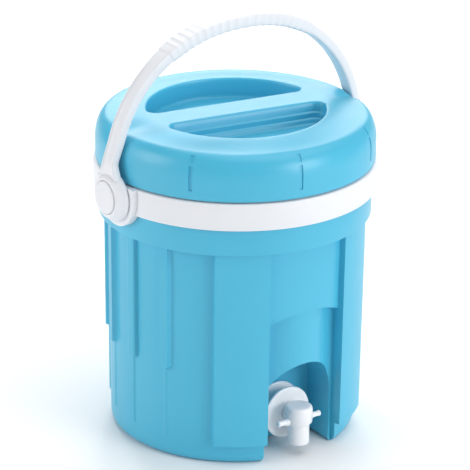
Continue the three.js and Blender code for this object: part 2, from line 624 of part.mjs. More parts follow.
function tapSpout() {
  const coreFront = -97;
  const coreBack = SEAT_FRONT - FIT;
  const beadRadius = SNAP_GROOVE.radius - 0.4;
  const beadFront = SNAP_GROOVE.front + FIT;
  const beadBack = SNAP_GROOVE.back - FIT;
  const halfGroove = 1.1;
  const grooved = [
    [0, coreFront], [CORE_RADIUS, coreFront], [CORE_RADIUS, beadFront], [beadRadius, beadFront + 0.2],
    [beadRadius, beadBack - 0.2], [CORE_RADIUS, beadBack],
  ];
  for (const centre of Object.values(ORING_AT)) {
    grooved.push([CORE_RADIUS, centre - halfGroove], [ORING_GROOVE_RADIUS, centre - halfGroove]);
    grooved.push([ORING_GROOVE_RADIUS, centre + halfGroove], [CORE_RADIUS, centre + halfGroove]);
  }
  grooved.push([CORE_RADIUS, coreBack], [0, coreBack]);
  const core = onTapAxis(grooved);
  const taperTop = TAP_Z - 2;
  const taperBottom = TAP_Z - 5;
  const barrel = toSolid(turned([
    [0, SPOUT_BOTTOM], [SPOUT_RADIUS - 0.6, SPOUT_BOTTOM], [SPOUT_RADIUS, SPOUT_BOTTOM + 1],
    [SPOUT_RADIUS, taperBottom], [BARREL_RADIUS, taperTop], [BARREL_RADIUS, BARREL_TOP - 0.8],
    [BARREL_RADIUS - 0.8, BARREL_TOP], [0, BARREL_TOP],
  ], 28).translate(0, BARREL_Y, 0));
  const ears = new THREE.BoxGeometry(2 * EAR_REACH, 5, 6.4).translate(0, BARREL_Y, TAP_Z);
  const outletRadius = 7.8;
  const outletTop = BARREL_TOP - 3.5;
  const outlet = turned([
    [0, SPOUT_BOTTOM - 1], [outletRadius, SPOUT_BOTTOM - 1], [outletRadius, outletTop], [0, outletTop],
  ], SMALL_ROUND).translate(0, BARREL_Y, 0);
  const wayRadius = 4.2;
  const wayBack = coreBack - 2.5;
  const way = onTapAxis([[0, BARREL_Y], [wayRadius, BARREL_Y], [wayRadius, wayBack], [0, wayBack]]);
  const port = portAlongY(coreBack - 4, coreBack + 1);
  const solid = core.add(barrel).add(toSolid(ears));
  return solid.subtract(toSolid(outlet)).subtract(way).subtract(port);
}

addPiece('tap_spout', tapSpout(), WHITE, 0.3);

for (const [place, y] of Object.entries(ORING_AT)) {
  const section = [];
  const steps = 6;
  for (let i = 0; i <= steps; i += 1) {
    const angle = -2 * Math.PI * i / steps;
    const radius = ORING_CENTRE_RADIUS + ORING_SECTION_RADIUS * Math.cos(angle);
    section.push([radius, y + ORING_SECTION_RADIUS * Math.sin(angle)]);
  }
  addPiece(`spout_oring_${place}`, onTapAxis(section, 16), RUBBER, 0.7);
}

export default group;
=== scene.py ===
from math import atan2, cos, exp, degrees, hypot, pi, radians, sin, sqrt

import bmesh
import bpy
from mathutils import Matrix, Vector


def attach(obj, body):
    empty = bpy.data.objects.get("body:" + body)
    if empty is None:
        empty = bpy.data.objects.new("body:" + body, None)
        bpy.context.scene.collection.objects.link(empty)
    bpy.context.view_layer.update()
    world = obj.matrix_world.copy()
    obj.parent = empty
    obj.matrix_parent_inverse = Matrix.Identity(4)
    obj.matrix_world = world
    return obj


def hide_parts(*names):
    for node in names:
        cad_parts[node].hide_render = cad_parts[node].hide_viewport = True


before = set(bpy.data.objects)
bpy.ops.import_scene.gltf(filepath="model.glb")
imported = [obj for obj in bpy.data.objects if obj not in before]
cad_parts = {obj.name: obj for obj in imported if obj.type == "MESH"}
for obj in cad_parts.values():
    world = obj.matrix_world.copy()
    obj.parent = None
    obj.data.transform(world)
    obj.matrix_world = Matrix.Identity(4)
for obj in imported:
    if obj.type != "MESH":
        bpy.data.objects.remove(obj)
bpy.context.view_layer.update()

# ---------------------------------------------------------------------------------------------
# Studio: a long-lens camera that looks down on the jug from its front left, a white table, a
# wide pale sky and softboxes at the front, the left and the back, with two window-shaped lamps.
# ---------------------------------------------------------------------------------------------
scene = bpy.context.scene
scene.view_settings.view_transform = "Standard"

camera_data = bpy.data.cameras.new("studio_camera")
camera_data.sensor_width = 36.0
camera_data.lens = 241.0
camera_data.shift_x = 0.0012
camera_data.clip_end = 20.0
camera = bpy.data.objects.new("studio_camera", camera_data)
camera_turn = radians(-35.5)
camera_reach = 2.8
camera_height = 1.299
camera_dip = radians(21.67)
camera_roll = radians(0.75)
camera_place = Vector((sin(camera_turn) * camera_reach, -cos(camera_turn) * camera_reach, camera_height))
camera.matrix_world = (
    Matrix.Translation(camera_place)
    @ Matrix.Rotation(camera_turn, 4, "Z")
    @ Matrix.Rotation(radians(90.0) - camera_dip, 4, "X")
    @ Matrix.Rotation(camera_roll, 4, "Z")
)
scene.collection.objects.link(camera)
scene.camera = camera

world = bpy.data.worlds.new("studio_white")
world.use_nodes = True
room_light = world.node_tree.nodes["Background"]
room_light.inputs["Color"].default_value = (1.0, 1.0, 1.0, 1.0)
room_light.inputs["Strength"].default_value = 0.30
scene.world = world


def lamp(name, place, aim, size, power):
    lamp_data = bpy.data.lights.new(name, "AREA")
    lamp_data.shape = "RECTANGLE"
    lamp_data.size, lamp_data.size_y = size
    lamp_data.energy = power
    hung = bpy.data.objects.new(name, lamp_data)
    direction = Vector(aim) - Vector(place)
    hung.matrix_world = Matrix.Translation(place) @ direction.to_track_quat("-Z", "Y").to_matrix().to_4x4()
    scene.collection.objects.link(hung)


lamp("front_softbox", (0.9, -2.4, 0.9), (0.0, 0.0, 0.15), (1.2, 1.2), 31.0)
lamp("left_softbox", (-2.2, 0.7, 1.0), (0.0, 0.0, 0.2), (1.2, 1.4), 22.0)
lamp("back_softbox", (1.7, 2.3, 1.35), (0.0, 0.0, 0.3), (2.6, 1.5), 34.0)
lamp("window_one", (0.15, 1.3, 1.9), (0.0, 0.0, 0.3), (0.35, 0.5), 6.0)
lamp("window_two", (0.75, 1.15, 1.9), (0.0, 0.0, 0.3), (0.30, 0.5), 5.0)

sky_data = bpy.data.lights.new("skylight", "SUN")
sky_data.energy = 1.3
sky_data.angle = radians(60.0)
sky = bpy.data.objects.new("skylight", sky_data)
sky.rotation_euler = (radians(12.0), radians(14.0), 0.0)
scene.collection.objects.link(sky)

table_mesh = bpy.data.meshes.new("white_table")
table_build = bmesh.new()
bmesh.ops.create_grid(table_build, x_segments=1, y_segments=1, size=6.0)
table_build.to_mesh(table_mesh)
table_build.free()
table = bpy.data.objects.new("white_table", table_mesh)
scene.collection.objects.link(table)
table_paint = bpy.data.materials.new("white_table_paint")
table_paint.use_nodes = True
table_shader = table_paint.node_tree.nodes["Principled BSDF"]
table_shader.inputs["Base Color"].default_value = (0.93, 0.93, 0.93, 1.0)
table_shader.inputs["Roughness"].default_value = 0.6
table_mesh.materials.append(table_paint)

# ---------------------------------------------------------------------------------------------
# Jug body: one injection-moulded shell of pale blue polypropylene. A collar rings the top, two
# broad pilasters frame the front, reeds run down the sides and back, and the tap stands in an
# arched alcove under a hood that bulges out between the pilasters.
# ---------------------------------------------------------------------------------------------
mm = 0.001
shell_wall = 2.8
foot_radius = 110.0
skirt_radius = 118.3
neck_radius = 120.4
collar_radius = 130.0
collar_foot = 216.5
collar_rim = 243.0
neck_top = 216.3                  # the wall ends here, just under the collar
foot_curve = 9.0
wall_root = 117.9                 # raised details start inside the wall at this radius
tap_height = 35.0
panel_turn = 50.4                 # degrees each side of the front that the front panel takes in
merge_gap = 0.02 * mm


def spun(profile, turn_from, turn_to, steps, closed):
    """Turns a profile of (radius, height) in millimetres round the upright axis."""
    build = bmesh.new()
    start = radians(turn_from)
    points = [build.verts.new((r * mm * sin(start), -r * mm * cos(start), z * mm)) for r, z in profile]
    edges = [build.edges.new(pair) for pair in zip(points, points[1:])]
    if closed:
        edges.append(build.edges.new((points[-1], points[0])))
    whole = abs(turn_to - turn_from) > 359.9
    bmesh.ops.spin(
        build, geom=points + edges, cent=(0, 0, 0), axis=(0, 0, 1),
        angle=radians(turn_to - turn_from), steps=steps, use_merge=whole,
    )
    bmesh.ops.remove_doubles(build, verts=build.verts[:], dist=0.005 * mm)
    if not whole:
        bmesh.ops.holes_fill(build, edges=[e for e in build.edges if e.is_boundary], sides=0)
    bmesh.ops.recalc_face_normals(build, faces=build.faces[:])
    return build


def raised(outline, bottom, top):
    """A plan outline in millimetres, raised between two heights."""
    build = bmesh.new()
    face = build.faces.new([build.verts.new((x * mm, y * mm, bottom * mm)) for x, y in outline])
    lifted = bmesh.ops.extrude_face_region(build, geom=[face])["geom"]
    bmesh.ops.translate(
        build, verts=[v for v in lifted if isinstance(v, bmesh.types.BMVert)], vec=(0, 0, (top - bottom) * mm),
    )
    bmesh.ops.recalc_face_normals(build, faces=build.faces[:])
    return build


def run_back(outline, front, back):
    """An outline in X and Z in millimetres, run along Y between two places."""
    build = raised([(x, -z) for x, z in outline], front, back)
    bmesh.ops.transform(build, matrix=Matrix(((1, 0, 0, 0), (0, 0, 1, 0), (0, -1, 0, 0), (0, 0, 0, 1))),
                        verts=build.verts[:])
    bmesh.ops.recalc_face_normals(build, faces=build.faces[:])
    return build


def as_object(name, build):
    mesh = bpy.data.meshes.new(name)
    build.to_mesh(mesh)
    build.free()
    made = bpy.data.objects.new(name, mesh)
    scene.collection.objects.link(made)
    return made


def joined(piece, tool_build, operation):
    """Adds (UNION) or cuts away (DIFFERENCE) a tool shape, or keeps what they share (INTERSECT)."""
    tool = as_object("tool", tool_build)
    step = piece.modifiers.new("join", "BOOLEAN")
    step.operation = operation
    step.solver = "EXACT"
    step.object = tool
    bpy.context.view_layer.update()
    shaped = bpy.data.meshes.new_from_object(piece.evaluated_get(bpy.context.evaluated_depsgraph_get()))
    piece.modifiers.clear()
    piece.data = shaped
    bpy.data.objects.remove(tool)
    return piece


def eased_edges(build, width, least_angle=30.0, segments=2, keep=None):
    """Rounds every edge sharper than least_angle, as a mould's edges are."""
    sharp = []
    for edge in build.edges:
        if len(edge.link_faces) == 2 and edge.calc_face_angle(0.0) > radians(least_angle):
            if keep is None or keep(edge):
                sharp.append(edge)
    bmesh.ops.bevel(
        build, geom=sharp, offset=width * mm, offset_type="OFFSET", affect="EDGES", segments=segments,
        profile=0.5, material=-1, clamp_overlap=True,
    )


def smooth_ramp(value):
    value = min(1.0, max(0.0, value))
    return value * value * (3.0 - 2.0 * value)


wall_rows = [14, 17, 19, 21, 22, 23, 24, 25, 27, 32, 45, 60, 75, 84]
wall_rows += list(range(87, 101)) + [104, 112, 124, 140, 160, 180, 200, 210, 215]
shell_profile = [(95.0, 3.0), (98.0, 3.0), (99.0, 2.4), (100.0, 0.5), (100.8, 0.0), (foot_radius - 1.0, 0.0)]
for step in range(9):
    bend = pi / 2 * step / 8
    shell_profile.append((foot_radius + (skirt_radius - foot_radius) * sin(bend), foot_curve * (1.0 - cos(bend))))
for row in wall_rows:
    climb = (row - foot_curve) / (collar_foot - foot_curve)
    shell_profile.append((skirt_radius + (neck_radius - skirt_radius) * climb, row))
shell_profile += [
    (neck_radius, neck_top), (129.0, collar_foot), (129.7, collar_foot + 0.3), (collar_radius, collar_foot + 1.0),
    (collar_radius, collar_rim - 0.8), (129.2, collar_rim), (127.3, collar_rim), (127.3, 220.0),
    (120.6, 220.0), (120.6, collar_rim), (117.6, collar_rim), (115.5, 10.0), (110.0, 5.8), (95.0, 5.8),
]

# The sides and back: each reed is raised out of the wall, ends in a blunt point and runs on
# down to the skirt as a thin bead.
reed_places = [67.5 + 19.5 * k for k in range(6)]
reed_height = 4.4
reed_foot = 91.0
bead_height = 1.5
bead_foot = 22.0
back_wall = spun(shell_profile, panel_turn, 360.0 - panel_turn, 432, closed=True)
for vert in back_wall.verts:
    radius = hypot(vert.co.x, vert.co.y) / mm
    height = vert.co.z / mm
    if radius < 117.95 or height < 15.0 or height > 216.4 or radius > 121.0:
        continue
    place = abs(degrees(atan2(vert.co.x, -vert.co.y)))
    lift = 0.0
    for reed in reed_places:
        off = abs(place - reed)
        half = 2.6 - 1.1 * smooth_ramp((reed_foot + 4.0 - height) / 3.5)
        flank = smooth_ramp((half - off) / 0.9 + 0.5)
        lift = max(lift, reed_height * flank * smooth_ramp((height - reed_foot) / 2.0))
        if bead_foot < height < reed_foot + 5.0:
            lift = max(lift, bead_height * max(0.0, 1.0 - off / 0.8) * smooth_ramp((height - bead_foot) / 2.0))
    scale = (radius + lift) / radius
    vert.co.x *= scale
    vert.co.y *= scale


def on_end_plane(point):
    return abs(abs(degrees(atan2(point.x, -point.y))) - panel_turn) < 0.02


def drop_ends(build):
    ends = [f for f in build.faces if all(on_end_plane(v.co) for v in f.verts)]
    bmesh.ops.delete(build, geom=ends, context="FACES_ONLY")


drop_ends(back_wall)

# The front panel: pilasters added, then the hood, the cheeks and the alcove cut and lined.
pilaster_inner = 19.8
pilaster_outer = 45.0
pilaster_radius = 126.5
pilaster_foot = 21.0
pilaster_foot_radius = 124.8
pilaster_draft = 1.6              # degrees that the outer flank leans in
hood_bulge = 12.8
strip_x, strip_y, strip_end = 35.0, -105.2, 41.5
hood_crown, hood_spring = 150.0, 140.5
hood_back, above_hood = -60.0, 170.0
arch_half, arch_spring, arch_back = 38.0, 58.0, -70.0
foot_round = 4.0
shank_hole_radius = 9.6
out_front = -140.0
below_foot = -3.0


def polar(radius, turn):
    return (radius * sin(radians(turn)), -radius * cos(radians(turn)))


def hood_plan(inward):
    floor_y, end_x = strip_y + inward, strip_end + inward
    outline = [(-end_x, out_front), (end_x, out_front), (end_x, floor_y)]
    for step in range(13):
        across = 1.0 - step / 6.0
        outline.append((strip_x * across, floor_y - hood_bulge * (1.0 - across * across)))
    return [*outline, (-end_x, floor_y)]


def hood_outline(grow):
    half = strip_end + grow
    rise = hood_crown - hood_spring
    outline = [(-half, -2.0), (half, -2.0)]
    for step in range(17):
        across = 1.0 - step / 8.0
        outline.append((half * across, hood_spring + grow + rise * (1.0 - across * across)))
    return outline


def arch_outline(grow, foot):
    half = arch_half + grow
    flare = [pi / 2 * step / 6 for step in range(7)]
    curl = [(half + foot_round * (1.0 - sin(t)), foot_round * (1.0 - cos(t))) for t in flare]
    outline = [(-half - foot_round, foot), (half + foot_round, foot), *curl]
    for step in range(33):
        bend = pi * step / 32
        outline.append((half * cos(bend), arch_spring + half * sin(bend)))
    return outline + [(-x, z) for x, z in reversed(curl)]


front_panel = as_object("jug_body", spun(shell_profile, -panel_turn, panel_turn, 36, closed=True))
hood_liner = as_object("hood_liner", raised(hood_plan(shell_wall), 1.0, above_hood))
joined(hood_liner, run_back(hood_outline(shell_wall), out_front, hood_back), "INTERSECT")
joined(hood_liner, run_back(arch_outline(shell_wall, -1.0), out_front, arch_back + shell_wall), "UNION")
outside_skin = shell_profile[1:shell_profile.index((neck_radius, neck_top)) + 1]
envelope = [(0.0, 3.0), *outside_skin, (0.0, neck_top)]
joined(hood_liner, spun(envelope, 0.0, 360.0, 128, closed=False), "INTERSECT")
liner_build = bmesh.new()
liner_build.from_mesh(hood_liner.data)
bpy.data.objects.remove(hood_liner)
joined(front_panel, liner_build, "UNION")
for side in (-1, 1):
    turns = [pilaster_inner + (pilaster_outer - pilaster_inner) * k / 9 for k in range(10)]
    slope = (pilaster_outer - pilaster_draft - pilaster_inner) / (pilaster_outer - pilaster_inner)
    outline = [polar(pilaster_radius, side * (pilaster_inner + (t - pilaster_inner) * slope)) for t in turns]
    outline += [polar(wall_root, side * t) for t in reversed(turns)]
    pilaster = raised(outline, pilaster_foot, 218.0)
    for vert in pilaster.verts:
        if vert.co.z < 100 * mm and hypot(vert.co.x, vert.co.y) > 121 * mm:
            vert.co.x *= pilaster_foot_radius / pilaster_radius
            vert.co.y *= pilaster_foot_radius / pilaster_radius
    joined(front_panel, pilaster, "UNION")
hood_cut = as_object("hood_cut", raised(hood_plan(0.0), below_foot, above_hood))
joined(hood_cut, run_back(hood_outline(0.0), out_front, hood_back), "INTERSECT")
hood_build = bmesh.new()
hood_build.from_mesh(hood_cut.data)
bpy.data.objects.remove(hood_cut)
joined(front_panel, hood_build, "DIFFERENCE")
joined(front_panel, run_back(arch_outline(0.0, below_foot), out_front, arch_back), "DIFFERENCE")
shank_hole = []
for step in range(40):
    bend = pi * step / 20
    shank_hole.append((shank_hole_radius * cos(bend), tap_height + shank_hole_radius * sin(bend)))
joined(front_panel, run_back(shank_hole, arch_back - 8.0, arch_back + 10.0), "DIFFERENCE")

body_build = bmesh.new()
body_build.from_mesh(front_panel.data)
bmesh.ops.remove_doubles(body_build, verts=body_build.verts[:], dist=merge_gap)
drop_ends(body_build)


def in_alcove_corner(edge):
    for vert in edge.verts:
        off_tap = hypot(vert.co.x, vert.co.z - tap_height * mm)
        if abs(vert.co.y - arch_back * mm) >= 0.1 * mm or off_tap <= 15.0 * mm:
            return False
    return True


def shows_outside(edge):
    middle = (edge.verts[0].co + edge.verts[1].co) / 2
    reach = hypot(middle.x, middle.y) / mm
    height = middle.z / mm
    return reach > 60.0 and 1.0 < height < 216.0 and not (middle.y > -66 * mm and abs(middle.x) < 60 * mm)


eased_edges(body_build, 4.0, least_angle=60.0, segments=5, keep=in_alcove_corner)
eased_edges(body_build, 0.9, least_angle=24.0, segments=2, keep=shows_outside)
back_mesh = bpy.data.meshes.new("back_wall")
back_wall.to_mesh(back_mesh)
back_wall.free()
body_build.from_mesh(back_mesh)
bmesh.ops.remove_doubles(body_build, verts=body_build.verts[:], dist=merge_gap)

# The base plate closes the shell inside the foot rim and stops at the alcove's back wall.
plate_radius = 96.5
plate_notch = arch_half + 1.4
plate_side = degrees(atan2(plate_notch, sqrt(plate_radius ** 2 - plate_notch ** 2)))
plate_outline = [(-plate_notch, arch_back + 1.4), (plate_notch, arch_back + 1.4)]
for step in range(73):
    plate_outline.append(polar(plate_radius, plate_side + (360.0 - 2 * plate_side) * step / 72))
plate_mesh = bpy.data.meshes.new("base_plate")
plate_build = raised(plate_outline, 2.9, 5.9)
plate_build.to_mesh(plate_mesh)
plate_build.free()
body_build.from_mesh(plate_mesh)
for face in body_build.faces:
    face.smooth = True
body_build.to_mesh(front_panel.data)
body_build.free()
front_panel.data.set_sharp_from_angle(angle=radians(38.0))
jug_body = front_panel


def moulded_plastic(name, colour, shade, roughness, grain=0.03):
    """Moulded plastic: faint clouding in the pigment, a fine mould grain and uneven gloss."""
    paint = bpy.data.materials.new(name)
    paint.use_nodes = True
    tree = paint.node_tree
    shader = tree.nodes["Principled BSDF"]
    place = tree.nodes.new("ShaderNodeTexCoord")
    clouds = tree.nodes.new("ShaderNodeTexNoise")
    clouds.inputs["Scale"].default_value = 14.0
    clouds.inputs["Detail"].default_value = 3.0
    tint = tree.nodes.new("ShaderNodeMix")
    tint.data_type = "RGBA"
    tint.inputs["A"].default_value = (*shade, 1.0)
    tint.inputs["B"].default_value = (*colour, 1.0)
    gloss = tree.nodes.new("ShaderNodeTexNoise")
    gloss.inputs["Scale"].default_value = 60.0
    gloss.inputs["Detail"].default_value = 4.0
    gloss_range = tree.nodes.new("ShaderNodeMapRange")
    gloss_range.inputs["To Min"].default_value = roughness - 0.05
    gloss_range.inputs["To Max"].default_value = roughness + 0.06
    pores = tree.nodes.new("ShaderNodeTexNoise")
    pores.inputs["Scale"].default_value = 1400.0
    pores.inputs["Detail"].default_value = 2.0
    bump = tree.nodes.new("ShaderNodeBump")
    bump.inputs["Strength"].default_value = grain
    bump.inputs["Distance"].default_value = 0.0004
    link = tree.links.new
    for node in (clouds, gloss, pores):
        link(place.outputs["Object"], node.inputs["Vector"])
    link(clouds.outputs["Fac"], tint.inputs["Factor"])
    link(tint.outputs["Result"], shader.inputs["Base Color"])
    link(gloss.outputs["Fac"], gloss_range.inputs["Value"])
    link(gloss_range.outputs["Result"], shader.inputs["Roughness"])
    link(pores.outputs["Fac"], bump.inputs["Height"])
    link(bump.outputs["Normal"], shader.inputs["Normal"])
    shader.inputs["IOR"].default_value = 1.49
    return paint


pale_blue = moulded_plastic("pale_blue_plastic", (0.075, 0.485, 0.70), (0.066, 0.46, 0.67), 0.34)
jug_body.data.materials.clear()
jug_body.data.materials.append(pale_blue)
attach(jug_body, "jug")
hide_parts("outer_shell")

# ---------------------------------------------------------------------------------------------
# Collar band: the white polypropylene ring that clips over the shell's collar, holds the
# liner's lip and carries a flat boss for the handle on each side.
# ---------------------------------------------------------------------------------------------
pivot_height = 256.0
boss_plane = 136.4
boss_half = 29.5
band_profile = [
    (108.5, 263.4), (120.0, 263.4), (120.0, 266.2), (131.7, 266.2), (131.7, 243.8), (132.2, 243.3),
    (134.3, 243.3), (134.8, 243.5), (135.0, 244.0), (135.0, 268.0), (134.8, 268.6), (134.2, 269.0),
    (118.2, 269.0), (117.6, 268.6), (117.6, 266.0), (108.5, 266.0),
]


def laid_across(build, side):
    """Lays a shape made round the upright axis along the handle's pivot, on one side."""
    cycle = Matrix(((0, 0, 1, 0), (1, 0, 0, 0), (0, 1, 0, 0), (0, 0, 0, 1)))
    half_turn = Matrix.Rotation(pi if side < 0 else 0.0, 4, "Z")
    place = Matrix.Translation((0, 0, pivot_height * mm)) @ half_turn @ cycle
    bmesh.ops.transform(build, matrix=place, verts=build.verts[:])
    return build


def shaded(piece, angle=38.0):
    for face in piece.data.polygons:
        face.use_smooth = True
    piece.data.set_sharp_from_angle(angle=radians(angle))


def painted(piece, paint, body, slot, *nodes):
    piece.data.materials.clear()
    piece.data.materials.append(paint)
    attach(piece, body)
    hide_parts(*nodes)


band = as_object("collar_band", spun(band_profile, 0.0, 360.0, 256, closed=True))
for side in (-1, 1):
    boss_outline = [(boss_half, 269.0 - pivot_height), (-boss_half, 269.0 - pivot_height)]
    boss_outline += [(boss_half * cos(pi + pi * k / 40), boss_half * sin(pi + pi * k / 40)) for k in range(41)]
    boss_build = laid_across(raised(boss_outline, 120.0, boss_plane), side)
    eased_edges(
        boss_build, 1.1, least_angle=60.0, segments=3,
        keep=lambda edge: all(abs(v.co.x) > (boss_plane - 0.1) * mm for v in edge.verts),
    )
    boss = as_object("boss", boss_build)
    inside = [(0.0, 200.0), (130.6, 200.0), (130.6, 267.2), (0.0, 267.2)]
    joined(boss, spun(inside, 0.0, 360.0, 128, closed=False), "DIFFERENCE")
    boss_build = bmesh.new()
    boss_build.from_mesh(boss.data)
    bpy.data.objects.remove(boss)
    joined(band, boss_build, "UNION")
    bore = [(0.0, 118.0), (5.3, 118.0), (5.3, 140.0), (0.0, 140.0)]
    joined(band, laid_across(spun(bore, 0.0, 360.0, 48, closed=False), side), "DIFFERENCE")
shaded(band)
white_plastic = moulded_plastic("white_plastic", (0.80, 0.82, 0.86), (0.775, 0.795, 0.835), 0.36)
painted(band, white_plastic, "jug", "white_plastic", "collar_ring")

# ---------------------------------------------------------------------------------------------
# Handle: one bail of white polypropylene with a shallow channel down each arm, a thicker grip
# with cross ridges over the top, and a round hub at each end that turns on the pivot pin.
# ---------------------------------------------------------------------------------------------
bail_half = 141.5
bail_height = 146.0
bail_power = 2.2
stem_x = 141.35
arm_half = 8.6
grip_half = 10.7
grip_from, grip_to = 58.0, 122.0
channel_depth, channel_lip = 1.9, 2.4
stem_foot = 17.5


def lofted(rings):
    """Joins rings with the same number of points, in millimetres, into one closed body."""
    build = bmesh.new()
    corner = build.verts.layers.int.new("corner")
    face = build.faces.new([build.verts.new([c * mm for c in point]) for point in rings[0]])
    for count, vert in enumerate(face.verts):
        vert[corner] = count
    for ring in rings[1:]:
        last = face
        grown = bmesh.ops.extrude_face_region(build, geom=[last])["geom"]
        face = next(f for f in grown if isinstance(f, bmesh.types.BMFace))
        if last.is_valid and ring is not rings[1]:
            bmesh.ops.delete(build, geom=[last], context="FACES_ONLY")
        for vert in face.verts:
            vert.co = Vector(ring[vert[corner]]) * mm
    bmesh.ops.recalc_face_normals(build, faces=build.faces[:])
    return build


def bail_point(turn):
    across, up = cos(radians(turn)), sin(radians(turn))
    reach = bail_half * abs(across) ** (2 / bail_power)
    return Vector((reach if across > 0 else -reach, pivot_height + bail_height * abs(up) ** (2 / bail_power)))


def bail_section(centre, outward, half_width, half_thick, channel, lip):
    """Twelve points round the bail: square to its run, with a channel sunk in the outer face."""
    ease = 1.6
    floor = half_thick - channel
    flat = [
        (-half_width, ease - half_thick), (ease - half_width, -half_thick), (half_width - ease, -half_thick),
        (half_width, ease - half_thick), (half_width, half_thick - ease), (half_width - 0.7, half_thick),
        (half_width - lip, half_thick), (half_width - lip - 0.8, floor), (lip + 0.8 - half_width, floor),
        (lip - half_width, half_thick), (0.7 - half_width, half_thick), (-half_width, half_thick - ease),
    ]
    return [(centre.x + outward.x * v, u, centre.y + outward.y * v) for u, v in flat]


stations = []
for side in (1, -1):
    run = []
    for height in (stem_foot, 19.0, 22.0, 25.0, 28.0, 31.0, 34.0):
        seated = smooth_ramp((height - stem_foot) / 8.0)
        thinned = 0.9 * (1.0 - seated)
        half_width = arm_half + 5.6 * smooth_ramp((35.0 - height) / 18.0)
        centre = Vector((side * (stem_x - thinned), pivot_height + height))
        run.append((centre, Vector((side, 0.0)), half_width, 4.4 - thinned, channel_depth * seated, channel_lip))
    turns = [17.0, 19.5] + [22.0 + 3.0 * k for k in range(12)] + [57.0, grip_from - 0.15]
    for turn in turns:
        turn = turn if side > 0 else 180.0 - turn
        along = (bail_point(turn + 0.5) - bail_point(turn - 0.5)).normalized()
        outward = Vector((along.y, -along.x))
        near = smooth_ramp((abs(90.0 - turn) - 36.0) / 6.0)
        half_thick = 4.3 + 1.1 * sin(radians(turn))
        half_width = arm_half + 0.8 * (1.0 - near)
        run.append((bail_point(turn), outward, half_width, half_thick, channel_depth * near, channel_lip))
    stations.append(run)
grip_run = []
grip_steps = 96
for step in range(grip_steps + 1):
    turn = grip_from + (grip_to - grip_from) * step / grip_steps
    along = (bail_point(turn + 0.5) - bail_point(turn - 0.5)).normalized()
    end = min(step, grip_steps - step)
    ridge = 0.55 if end > 5 and step % 5 in (0, 1) else 0.0
    half_thick = 6.1 + ridge if end > 0 else 5.7
    half_width = grip_half - (0.0 if end > 0 else 0.5) - 0.4 + 0.7 * ridge
    grip_run.append((bail_point(turn), Vector((along.y, -along.x)), half_width, half_thick, 0.0, 3.4))
whole_run = stations[0] + grip_run + stations[1][::-1]
bail_build = lofted([bail_section(*station) for station in whole_run])
bail = as_object("handle_bail_moulding", bail_build)
rounding = bail.modifiers.new("rounding", "SUBSURF")
rounding.levels = 2
rounding.render_levels = 2
bpy.context.view_layer.update()
bail_mesh = bpy.data.meshes.new_from_object(bail.evaluated_get(bpy.context.evaluated_depsgraph_get()))
bail.modifiers.clear()
bail.data = bail_mesh
hub_profile = [
    (5.3, 136.9), (23.9, 136.9), (24.4, 137.2), (24.5, 137.7), (24.5, 139.4), (24.3, 140.3), (23.7, 141.4),
    (22.7, 142.8), (21.5, 144.2), (20.3, 145.6), (19.4, 146.6), (18.6, 147.2), (17.8, 147.4), (16.5, 147.4),
    (16.0, 147.0), (16.0, 144.8), (5.3, 144.8),
]
for side in (-1, 1):
    joined(bail, laid_across(spun(hub_profile, 0.0, 360.0, 96, closed=True), side), "UNION")
shaded(bail)
painted(bail, white_plastic, "handle", "white_plastic", "handle_bail")

# ---------------------------------------------------------------------------------------------
# Pivot pins: white headed pins pressed through hub and boss. Each head is a low domed disc that
# lies in the hub's recess, and a push-on retainer inside the band holds the other end.
# ---------------------------------------------------------------------------------------------
pin_profile = [
    (0.0, 125.0), (4.2, 125.0), (5.0, 125.9), (5.0, 145.1), (15.1, 145.1), (15.6, 145.5), (15.6, 147.5),
    (15.4, 148.1), (14.9, 148.45), (14.1, 148.6), (12.0, 148.68), (8.0, 148.75), (4.0, 148.79), (0.0, 148.8),
]
for side, label in ((-1, "left"), (1, "right")):
    pin = as_object("pivot_pin_head_" + label, laid_across(spun(pin_profile, 0.0, 360.0, 96, closed=False), side))
    shaded(pin)
    painted(pin, white_plastic, "jug", "white_plastic", "pivot_pin_" + label)

# ---------------------------------------------------------------------------------------------
# Lid: a pale blue moulding that twists off. Two D-shaped finger pockets leave a grip bar across
# the top, the bar's ends dip to the rim, and pairs of narrow slots mark the side.
# ---------------------------------------------------------------------------------------------
lid_radius = 133.0
lid_foot = 270.5
lid_shoulder = 289.7
lid_top = 313.0
lid_crown = 3.3
lid_fillet = 13.9
lid_turn = -8.5
pocket_radius = 85.0
bar_half = 16.5
pocket_corner = 9.0
lid_skin = 2.4


def lid_solid(inset, foot, steps):
    """The lid's outside, or its hollow when inset, with the shallow dips at the bar's ends."""
    side = lid_radius - inset
    profile = [(0.0, foot), (side - 0.7, foot), (side - 0.2, foot + 0.2), (side, foot + 0.7)]
    profile += [(side, lid_foot + 1.0 + 3.0 * k) for k in range(1, 7)]
    for step in range(15):
        bend = pi / 2 * step / 14
        reach = lid_radius - lid_fillet + (lid_fillet - inset) * cos(bend)
        profile.append((reach, lid_shoulder + (lid_top - lid_shoulder - inset) * sin(bend)))
    profile += [(118.0 - 3.0 * k, lid_top - inset) for k in range(39)] + [(0.0, lid_top - inset)]
    build = spun(profile, 0.0, 360.0, steps, closed=False)
    for vert in build.verts:
        reach = hypot(vert.co.x, vert.co.y) / mm
        if vert.co.z > 300.0 * mm:
            vert.co.z += lid_crown * smooth_ramp((120.0 - reach) / 36.0) * mm
        if vert.co.z > 296.0 * mm and reach > 88.0:
            dip = exp(-(vert.co.y / mm / 13.0) ** 2) * smooth_ramp((reach - 88.0) / 30.0)
            vert.co.z -= 3.4 * dip * smooth_ramp((vert.co.z / mm - 296.0) / 10.0) * mm
    return build


